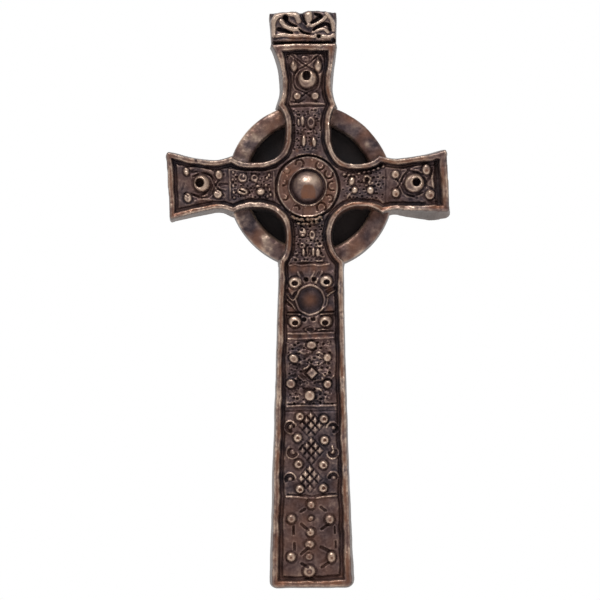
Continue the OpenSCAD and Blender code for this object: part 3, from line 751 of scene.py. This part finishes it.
strands(
    ((-13, 61), (-12.7, 66.1), (-10.3, 68.8), (-5.4, 69.2), (-3.4, 68.2), (-2.6, 66.4), 2.5, 1.045),
    ((-9.6, 66.4), (-8.2, 64.3), (-5.5, 63.2), (-2.7, 63), 2, 0.95),
    ((1.2, 69.2), (1.3, 67.4), (0.9, 65.6), 3.25, 1.14),
    ((0.9, 64.2), (3.9, 64.8), (7.1, 66.7), (8.8, 68.4), 1.75, 0.95),
    ((8.6, 69.2), (10.6, 66.6), (11.2, 62.6), 2, 0.95),
    ((3, 61.7), (6, 62.8), (7.6, 62.8), (9, 61.6), 1.5, 0.855),
    ((-12.6, 60.2), (-9, 60.9), (-4.7, 60.3), (-0.9, 60.4), (2.9, 59.8), (4, 60.6), 1.5, 0.665),
    ((6.8, 60), (9.4, 59.8), (11.4, 60.6), 1.625, 0.665),
)
grooves(
    ((-7.9, 68), (-7.3, 66.2), (-5.6, 64.9), (-3.7, 64.3), (2, 1.5, 1.3, 0.9), 2.1),
    ((-10.5, 63.1), (-8.4, 62.6), (-5.4, 61.6), (1.9, 1.4, 0.9), 2.1),
    ((-2, 70.9), (-1.3, 67.9), (0.3, 64.9), (1.7, 1.5, 0.9), 2.1),
    ((2.6, 65.5), (4.4, 66.6), (6.3, 67.9), (1.1, 1.7, 1.6), 2.1),
    ((3.9, 69.1), (5.6, 68.5), (1, 1.6), 2.1),
    ((3.2, 62.6), (5, 63.9), (7.8, 65), (9.4, 64.4), (9.9, 62.5), (0.9, 1.5, 1.5, 1.4, 1.1), 2.1),
    ((-2.5, 63), (-0.8, 61.7), (1.7, 61.1), (0.6, 1, 0.6), 2.1),
    ((-12.4, 59.2), (-8, 59.6), (-4, 59.2), (0, 59.3), (4, 58.9), 0.7, 0.5),
    ((-14.6, 67.2), (-12.8, 70.4), 2.2, 1.6), ((9.8, 70.6), (13.2, 65.4), 2.6, 1.6),
)
poke(-7.9, 67.7, 1.2, 1.2, 1.2)
poke(5.3, 60.1, 0.75, 0.75, 2.6, 0.1)
poke(11.1, 58.6, 1, 0.8, 2.6)
cap_height, height = height, master
face_in = np.maximum(np.maximum(limb_in, cap_in), bridge_in)
on_cap = cap_in > 0
height = np.where(limb_in > 0, height, channel_h - 1.2)
height = np.where(on_cap & (cap_height > height), cap_height, height)
height = np.where(on_cap & (limb_in <= 0), cap_height, height)
for x in (-5, -2, 1):
    redden(x, 59.6, 1.5, 0.8)

# A worn, hand-worked surface: edges softened, with light tool marks.
height = softened(height, 0.13) + 0.035 * unevenness(1.6) + 0.02 * unevenness(0.7)

# ---------------- ring
# A plain flat band set back behind the limbs, its edges worn round, and a thin floor that closes
# the four openings it makes with the armpits. Cast with the rest.


def add_mesh(name, points, faces):
    """A mesh from points given as X, Z and height above the back in millimetres."""
    mesh = bpy.data.meshes.new(name)
    vertices = np.column_stack([points[:, 0], -points[:, 2], points[:, 1]]) / 1000
    mesh.from_pydata(vertices.tolist(), [], faces)
    return mesh


def add_object(name, data):
    """Adds an object that shows a mesh, a light or a camera to the scene."""
    piece = bpy.data.objects.new(name, data)
    bpy.context.scene.collection.objects.link(piece)
    return piece


ring_at = (1.1, 0.7)
ring_h = 8
floor_h = 2.4
ring_turns = 560
ring_oval = 0.6
band_middle = 29.3
band_half = 2.6
ring_section = [
    (24.0, floor_h), (24.8, floor_h), (25.2, floor_h + 0.3), (25.35, 4.0), (25.5, 5.6), (25.7, 6.6),
    (26.1, 7.3), (26.7, 7.75),
]
ring_section += [(r, ring_h - 0.25 * abs(r - band_middle) / band_half) for r in np.arange(27.2, 31.8, 0.4)]
ring_section += [
    (32.1, 7.6), (32.6, 7.15), (32.9, 6.4), (33.0, 5.0), (33.1, 3.2), (33.25, 1.4), (33.35, 0.5),
    (33.2, 0.05),
]
around = np.linspace(0, 2 * math.pi, ring_turns, endpoint=False)
waver = np.zeros(ring_turns)
for n in range(2, 26):
    waver += rng.normal(0, 0.6) / n * np.sin(n * around + rng.uniform(0, 6.28))
ring_points = []
for r, h in ring_section:
    worn = np.clip((h - floor_h) / 4, 0, 1) * (1 if r < band_middle else 0.5)
    radius = r + 0.35 * waver * worn - ring_oval * np.sin(2 * around)
    ring_points.append(np.column_stack([
        ring_at[0] + radius * np.cos(around), ring_at[1] + radius * np.sin(around), np.full(ring_turns, h)]))
ring_points = np.array(ring_points)
columns = np.clip(((ring_points[..., 0] - xs[0]) / cell).round().astype(int), 0, len(xs) - 1)
rows = np.clip(((ring_points[..., 1] - zs[0]) / cell).round().astype(int), 0, len(zs) - 1)
texture = 0.16 * unevenness(4) + 0.1 * unevenness(1.3)
on_top = np.clip((ring_points[..., 2] - floor_h) / 4, 0, 1)
ring_points[..., 2] += on_top * texture[rows, columns]
turn_on = np.roll(np.arange(ring_turns), -1)
ring_faces = []
for inner in range(0, ring_points[:-1, :, 0].size, ring_turns):
    outer = inner + ring_turns
    ring_faces += [(inner + k, outer + k, outer + n, inner + n) for k, n in enumerate(turn_on)]
ring_faces.append(range(ring_turns))
ring_faces.append(range(outer, outer + ring_turns)[::-1])
ring_piece = add_object("ring_blank", add_mesh("ring", ring_points.reshape(-1, 3), ring_faces))

# ---------------- the casting
# The grid becomes the face of the casting: it is cut off along the outline, its sides lean out to
# the flat back, the ring is joined to it, and a blind hole for a nail is bored in the back. A grid
# point within snap of the outline is moved onto it, so that no sliver is cut there.
gz, gx = np.gradient(face_in, cell)
slope = np.maximum(np.hypot(gx, gz), 0.3)
snap = 0.38 * cell
close = (np.abs(face_in) < snap) & (slope > 0.6)
shift = np.where(close, -face_in / slope, 0)
px = X + shift * gx / slope
pz = Z + shift * gz / slope
sign = np.where(close, 0, np.sign(face_in)).astype(int).ravel()
numbers = np.arange(X.size).reshape(X.shape)
odd = (np.indices(X.shape).sum(axis=0)[:-1, :-1] % 2 == 1).ravel()
a, b = numbers[:-1, :-1].ravel(), numbers[:-1, 1:].ravel()
d, c = numbers[1:, :-1].ravel(), numbers[1:, 1:].ravel()
triangles = np.vstack([
    np.column_stack([a, b, c])[odd], np.column_stack([a, c, d])[odd],
    np.column_stack([a, b, d])[~odd], np.column_stack([b, c, d])[~odd],
])
triangles = triangles[(sign[triangles] > 0).any(axis=1)]
crossing = (sign[triangles] < 0).any(axis=1)
whole, mixed = triangles[~crossing], triangles[crossing]
points = np.column_stack([px.ravel(), pz.ravel(), height.ravel()])
depth_in = np.where(close, 0, face_in).ravel()
cut_index = {}
cut_points = []


def cut_between(i, j):
    """The point where the edge between two grid points crosses the outline."""
    key = (min(i, j), max(i, j))
    if key not in cut_index:
        share = depth_in[key[0]] / (depth_in[key[0]] - depth_in[key[1]])
        cut_index[key] = X.size + len(cut_points)
        cut_points.append(points[key[0]] + share * (points[key[1]] - points[key[0]]))
    return cut_index[key]


clipped = []
for triangle in mixed:
    loop = []
    for i, j in zip(triangle, np.roll(triangle, -1)):
        if sign[i] >= 0:
            loop.append(i)
        if sign[i] * sign[j] < 0:
            loop.append(cut_between(i, j))
    clipped += [(loop[0], *pair) for pair in zip(loop[1:], loop[2:])]
triangles = np.vstack([whole, np.array(clipped)])
points = np.vstack([points, np.array(cut_points)])

# The open edge of the face, in order.
edges = np.vstack([triangles[:, [0, 1]], triangles[:, [1, 2]], triangles[:, [2, 0]]])
forward = edges @ (len(points), 1)
backward = edges @ (1, len(points))
follow = dict(edges[~np.isin(forward, backward)].tolist())
loop = [next(iter(follow))]
while follow[loop[-1]] != loop[0]:
    loop.append(follow[loop[-1]])
edge = points[loop]
edge_x, edge_z = edge[:, 0], edge[:, 1]
window = 8
ahead = np.roll(edge, -window, axis=0)[:, :2] - np.roll(edge, window, axis=0)[:, :2]
outward = np.column_stack([ahead[:, 1], -ahead[:, 0]])
outward /= np.hypot(outward[:, 0], outward[:, 1])[:, None]

# How much of side_lean each stretch of edge takes: all of it near the ring, less down the shaft,
# beside the capstone and under the left arm, little at the arm ends, and most under the right arm.
limb_from = 30
arm_from = 32
down_shaft = np.clip((-edge_z - limb_from) / (shaft_drop - limb_from), 0, 1)
share = np.where(edge_z < -limb_from, 0.3 + 0.5 * down_shaft ** 2, 1.0)
at_ends = (np.abs(outward[:, 0]) > 0.9) & (np.abs(edge_x) > arm_reach - 3)
at_ends |= edge_z < 2 - shaft_drop
share = np.where(at_ends, np.where(edge_z < -limb_from, 0.5, 0.12), share)
by_cap = np.interp(edge_z, [limb_from, 44, 54, 58], [0.9, 1.1, 0.5, 0.22])
share = np.where(edge_z > limb_from, by_cap * np.where(edge_x > 0, 0.6, 1.0), share)
under = outward[:, 1] < -0.7
left_under = np.interp(edge_x, [-54, -40], [0.1, 0.55])
right_under = np.interp(edge_x, [34, 50, 55], [0.7, 2.3, 1.2])
share = np.where((edge_x < -arm_from) & under, left_under, share)
share = np.where((edge_x > arm_from) & under, right_under, share)
smooth_by = np.ones(2 * window + 1) / (2 * window + 1)
share = np.convolve(np.concatenate([share[-window:], share, share[:window]]), smooth_by, mode="valid")
rows = []
steps = np.arange(len(loop)) * 2 * math.pi / len(loop)
for fall, spread in ((0.12, 0.1), (0.35, 0.34), (0.6, 0.6), (0.9, 0.92), (1.0, 1.0)):
    ripple = sum(
        rng.normal(0, 0.5) / n ** 0.5 * np.sin(n * steps + rng.uniform(0, 6.28)) for n in range(6, 90, 3))
    out = (side_lean * spread * share[:, None] + 0.05 * ripple[:, None] * (fall < 1)) * outward
    rows.append(np.column_stack([edge[:, :2] + out, edge[:, 2] * (1 - fall)]))
size = len(points)
points = np.vstack([points] + rows)
around_loop = np.arange(len(loop))
ring_ids = [np.array(loop)] + [size + k * len(loop) + around_loop for k in range(len(rows))]
walls = []
for upper, lower in zip(ring_ids, ring_ids[1:]):
    walls.append(np.column_stack([np.roll(upper, -1), upper, lower]))
    walls.append(np.column_stack([np.roll(upper, -1), lower, np.roll(lower, -1)]))
triangles = np.vstack([triangles] + walls)
used, triangles = np.unique(triangles, return_inverse=True)
triangles = triangles.reshape(-1, 3)
points = points[used]
back = np.searchsorted(used, ring_ids[-1])
casting = add_object(
    "ringed_cross", add_mesh("ringed_cross", points, triangles.tolist() + [back[::-1].tolist()]))

# The tool that bores the nail hole starts a little behind the back. These three are in metres.
nail_r = 0.0025
nail_deep = 0.007
run_out = 0.002
bpy.ops.mesh.primitive_cylinder_add(
    vertices=64, radius=nail_r, depth=nail_deep + run_out, location=(0, (run_out - nail_deep) / 2, 0),
    rotation=(math.pi / 2, 0, 0))
nail_bore = bpy.context.object


def apply_modifier(piece, kind, **settings):
    """Adds a modifier and makes it part of the mesh."""
    modifier = piece.modifiers.new(kind.lower(), kind)
    for name, value in settings.items():
        setattr(modifier, name, value)
    bpy.context.view_layer.objects.active = piece
    bpy.ops.object.modifier_apply(modifier=modifier.name)


for blank, operation in ((ring_piece, "UNION"), (nail_bore, "DIFFERENCE")):
    apply_modifier(casting, "BOOLEAN", object=blank, operation=operation, solver="MANIFOLD")
    bpy.data.objects.remove(blank)
casting_data = casting.data
whole_count = sum(len(polygon.vertices) - 2 for polygon in casting_data.polygons)
triangle_limit = 190000
if whole_count > triangle_limit:
    apply_modifier(casting, "DECIMATE", ratio=triangle_limit / whole_count)
casting_data.polygons.foreach_set("use_smooth", [True] * len(casting_data.polygons))
casting_data.set_sharp_from_angle(angle=math.radians(60))

# ---------------- finish
# Cold-cast bronze: bronze powder shows as a soft dull metal once it is rubbed. A near-black brown
# patina was left in every hollow, coppery where it is thin, and rubbed off the rims and studs.
# Painted highlights brighten the dome top, bead lattice and ring; painted shade darkens the pockets.
solid = np.where(face_in > 0, height, rim_h - 0.6)
fine = np.tanh((solid - softened(solid, 0.4)) / 0.14)
fine = np.where(fine < 0, 0.2, 0.27) * fine
broad = np.clip((solid - softened(solid, 2.6)) / 1.1, -0.05, 1)
patchy = 0.13 * unevenness(6) + 0.09 * unevenness(2)
rub_and_painted_light = np.clip(0.32 + fine + np.where(cap_in > 0, 0.48, 0.38 - 0.05 * on_rim) * broad + patchy, 0, 1)
# The dome: rubbed bronze, with a painted highlight on its top and painted shade towards its foot.
dome_rub_and_painted_light = 0.68 + 0.06 * np.clip(Z, -2, 3) - 0.3 * (from_boss / dome_r) ** 4 + 0.7 * patchy
rub_and_painted_light = np.where(from_boss < dome_r - 0.1, dome_rub_and_painted_light, rub_and_painted_light)
rub_and_painted_light = np.where(octagon < disc_r, 0.16 + patchy, rub_and_painted_light)
rub_and_painted_light = np.where(np.abs(X) > 32, rub_and_painted_light + 0.04, rub_and_painted_light)
rub_and_painted_light = np.where(cap_in > 0, np.clip(rub_and_painted_light, 0.15, 0.88), rub_and_painted_light)
# The tops of the bead lattice: rubbed bronze, set brightest as a painted highlight.
lace = (np.abs(X) < 7) & (Z < -11.4) & (Z > -16) & (height > panel_h + 0.35)
rub_and_painted_light = np.where(lace, 1.15, rub_and_painted_light)
rub_and_painted_light = np.where(face_in > 0, rub_and_painted_light, 0.42)
hollow = np.clip((panel_h - 1.05 - height) / 1.3, 0, 1)
hollow = np.where(face_in > 0, hollow, 0)


def read_vertices(what):
    """The places or the normals of all vertices, one row each."""
    values = np.empty(len(casting_data.vertices) * 3)
    casting_data.vertices.foreach_get(what, values)
    return values.reshape(-1, 3)


coords = read_vertices("co") * 1000
normals = read_vertices("normal")
vx = np.clip((coords[:, 0] - xs[0]) / cell, 0, len(xs) - 1.001)
vz = np.clip((coords[:, 2] - zs[0]) / cell, 0, len(zs) - 1.001)
vh = -coords[:, 1]


def at_vertices(field):
    """A grid field read between grid points at every vertex."""
    i, j = vz.astype(int), vx.astype(int)
    s, t = vz - i, vx - j
    low_row = field[i, j] * (1 - t) + field[i, j + 1] * t
    high_row = field[i + 1, j] * (1 - t) + field[i + 1, j + 1] * t
    return low_row * (1 - s) + high_row * s


in_face = at_vertices(face_in)
ring_x, ring_z = coords[:, 0] - ring_at[0], coords[:, 2] - ring_at[1]
ring_way = np.hypot(ring_x, ring_z) + ring_oval * np.sin(2 * np.arctan2(ring_z, ring_x))
facing = np.clip(-normals[:, 1], 0, 1)
ring_top = (in_face < 0.1) & (vh > 5.5) & (vh < 8.6) & (ring_way > 25) & (ring_way < 33.4)
pocket = (vh < 5.5) & (ring_way < 25.9) & (vh > 1) & (in_face < 0.1)
back_face = vh < 0.3
wall = np.clip((0.6 - facing) / 0.3, 0, 1) * ((in_face < 0.3) & ~ring_top & ~pocket)
inner_wall = (wall > 0) & (ring_way < 26.5)
worn = np.where(in_face < 0.3, 0.5, at_vertices(rub_and_painted_light))
ring_edge = np.clip((np.abs(ring_way - band_middle) - band_half) / 0.8, 0, 1)
# The ring's top: lighter at its worn edges and a little lighter towards the left.
worn = np.where(ring_top, 0.5 - 0.002 * ring_x + 0.2 * ring_edge + 1.9 * at_vertices(patchy), worn)
# The up-facing inner edge of the ring's lower half: a painted highlight.
worn = np.where(ring_top & (ring_way < 26.3) & (coords[:, 2] < -8), 0.85, worn)
# Pockets behind the ring and their walls: dark patina and painted shade, darker towards the back.
worn = np.where(pocket | inner_wall, 0.1, worn)
dark = np.where(in_face < 0.3, 0, at_vertices(hollow))
dark = np.where(pocket, 1, dark)
dark = np.where(inner_wall, np.clip((12 - vh) / 4, 0, 1), dark)
red = np.where(in_face < 0.3, 0.75 * at_vertices(blush), at_vertices(copper))
outer_wall = np.where((wall > 0) & ~inner_wall, wall, 0)
worn, dark, red, outer_wall = [
    np.where(back_face, level, values)
    for level, values in ((0.4, worn), (0.0, dark), (0.2, red), (0.8, outer_wall))
]
# worn carries painted highlights and shade besides wear, and hollow the pockets' painted shade.
for name, values in (("worn", worn), ("hollow", dark), ("copper", red), ("side", outer_wall)):
    attribute = casting_data.attributes.new(name, "FLOAT", "POINT")
    attribute.data.foreach_set("value", np.clip(values, 0, 1).astype(np.float32))


def linear(code):
    """A colour given as an sRGB hex code, in the linear values that shaders take."""
    channels = [int(code[k:k + 2], 16) / 255 for k in (1, 3, 5)]
    return [v / 12.92 if v <= 0.04045 else ((v + 0.055) / 1.055) ** 2.4 for v in channels] + [1.0]


def add_node(tree, kind, settings=None, inputs=None, output=0):
    """Adds a shader node, gives each input a value or another node's output, and returns one output."""
    node = tree.nodes.new("ShaderNode" + kind)
    for name, value in (settings or {}).items():
        setattr(node, name, value)
    for name, value in (inputs or {}).items():
        if isinstance(value, bpy.types.NodeSocket):
            tree.links.new(value, node.inputs[name])
        else:
            node.inputs[name].default_value = value
    return node.outputs[output] if node.outputs else node


bronze = bpy.data.materials.new("patinated_cold_cast_bronze")
bronze.use_nodes = True
tree = bronze.node_tree
tree.nodes.clear()
rub_and_light_here, hollow_here, copper_here, side_here = [
    add_node(tree, "Attribute", {"attribute_name": name}, output="Fac")
    for name in ("worn", "hollow", "copper", "side")
]

# The patina is blotched about every 5 mm. The bronze powder, the drag of a fingertip in the clay and
# the powder's grain are finer, and are drawn as coarse as they need to show: 0.7, 1.2 and 0.3 mm.
where = add_node(tree, "TexCoord", output="Object")
blotch, speck, drag, grain = [
    add_node(tree, "TexNoise", inputs={
        "Vector": where, "Scale": 1000 / across_mm, "Detail": detail, "Roughness": rough}, output="Fac")
    for across_mm, detail, rough in ((5.0, 3.0, 0.55), (0.7, 4.0, 0.65), (1.2, 3.0, 0.55), (0.3, 2.0, 0.55))
]

# How far the patina is rubbed off, plus painted highlights and shade; colours from deepest patina to bare
# bronze.
rub_and_light_level = add_node(tree, "Math", {"operation": "MULTIPLY_ADD"}, {0: speck, 1: 0.5, 2: rub_and_light_here})
rub_and_light_level = add_node(tree, "Math", {"operation": "MULTIPLY_ADD"}, {0: blotch, 1: 0.45, 2: rub_and_light_level})
rub_and_light_level = add_node(tree, "Math", {"operation": "SUBTRACT", "use_clamp": True}, {0: rub_and_light_level, 1: 0.475})
colour = add_node(tree, "ValToRGB", inputs={0: rub_and_light_level})
ramp = colour.node.color_ramp.elements
ramp[0].color = linear("#1e181d")
ramp[-1].color = linear("#d3baa6")
for place, code in ((0.25, "#3d3338"), (0.5, "#635352"), (0.72, "#8d786e")):
    ramp.new(place).color = linear(code)

# Coppery where the patina is thin, greyer on the sides; black in deep hollows, and painted shade in pockets.
thin = add_node(tree, "Math", {"operation": "ADD"}, {0: blotch, 1: 0.4})
coppery = add_node(tree, "Math", {"operation": "MULTIPLY", "use_clamp": True}, {0: thin, 1: copper_here})
greyer = add_node(tree, "Math", {"operation": "MULTIPLY"}, {0: side_here, 1: 0.7})
blackened = add_node(tree, "Math", {"operation": "MULTIPLY"}, {0: hollow_here, 1: 0.93})
for share_here, code in ((coppery, "#77503d"), (greyer, "#6a625e"), (blackened, "#140f11")):
    layers = {0: share_here, 6: colour, 7: linear(code)}
    colour = add_node(tree, "Mix", {"data_type": "RGBA"}, layers, output=2)

# Rubbed bronze is glossier and more metallic than the patina.
dull = add_node(tree, "MapRange", inputs={"Value": rub_and_light_level, "To Min": 0.62, "To Max": 0.32})
duller = {0: hollow_here, 1: 0.25, 2: dull}
dull = add_node(tree, "Math", {"operation": "MULTIPLY_ADD", "use_clamp": True}, duller)
metal = add_node(tree, "Math", {"operation": "MULTIPLY_ADD"}, {0: hollow_here, 1: -0.6, 2: 0.75})
clay = add_node(tree, "Bump", inputs={"Strength": 0.55, "Distance": 0.00012, "Height": drag})
skin = add_node(tree, "Bump", inputs={"Strength": 0.4, "Distance": 0.00004, "Height": grain, "Normal": clay})
shader = add_node(tree, "BsdfPrincipled", inputs={
    "Base Color": colour, "Roughness": dull, "Normal": skin, "Metallic": metal})
add_node(tree, "OutputMaterial", inputs={"Surface": shader})
casting_data.materials.clear()
casting_data.materials.append(bronze)
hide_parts("cross")
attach(casting, "root")

# ---------------- floor and light
# A plain white floor under the hung cross, a pale surround, and two soft lights: a key above and in
# front, and a weak fill from the right.
floor_z = low.z / 1000 - 0.04
bpy.ops.mesh.primitive_circle_add(vertices=96, radius=0.9, fill_type="NGON", location=(0, 0, floor_z))
floor = bpy.context.object
floor.name = "floor"
pale = bpy.data.materials.new("pale_floor")
pale.use_nodes = True
paint = pale.node_tree.nodes["Principled BSDF"].inputs
paint["Base Color"].default_value = linear("#f2f1ef")
paint["Roughness"].default_value = 0.8
floor.data.materials.append(pale)

world = bpy.data.worlds.new("surround")
bpy.context.scene.world = world
world.use_nodes = True
sky = world.node_tree
sky.nodes.clear()
direction = add_node(sky, "TexCoord", output="Generated")
behind = add_node(sky, "SeparateXYZ", inputs={0: direction}, output="Y")
brightness = add_node(sky, "MapRange", inputs={
    "Value": behind, "From Min": -0.1, "From Max": 0.6, "To Min": 0.5, "To Max": 1.0})
surround = add_node(sky, "Background", inputs={"Color": linear("#ffffff"), "Strength": brightness})
add_node(sky, "OutputWorld", inputs={"Surface": surround})


def soft_light(name, place, target, size, power):
    """A square soft light that faces a point."""
    data = bpy.data.lights.new(name, "AREA")
    data.size = size
    data.energy = power
    light = add_object(name, data)
    light.location = place
    light.rotation_euler = (Vector(target) - Vector(place)).to_track_quat("-Z", "Y").to_euler()


soft_light("key", (-0.15, -0.55, 0.75), (0, 0, -0.04), 0.45, 6.0)
soft_light("fill", (0.7, -0.7, 0.25), (0, 0, -0.04), 0.5, 0.5)

# ---------------- the camera
# A long lens a little below the middle, tipped under a degree so that the cross leans as hung.
distance = 1.4
frame_w = 0.2386
elevation = math.radians(-3.0)
roll_angle = math.radians(-0.83)
aim = Vector((-0.0037, -0.0115, -0.0451))
camera_data = bpy.data.cameras.new("camera")
camera_data.sensor_width = 36
camera_data.lens = 36 * distance / frame_w
camera = add_object("camera", camera_data)
look = Vector((0, math.cos(elevation), -math.sin(elevation)))
turn = look.to_track_quat("-Z", "Y").to_matrix() @ Matrix.Rotation(roll_angle, 3, "Z")
camera.matrix_world = Matrix.Translation(aim - look * distance) @ turn.to_4x4()
camera_data.clip_end = 10
bpy.context.scene.camera = camera
bpy.context.scene.view_settings.view_transform = "Standard"
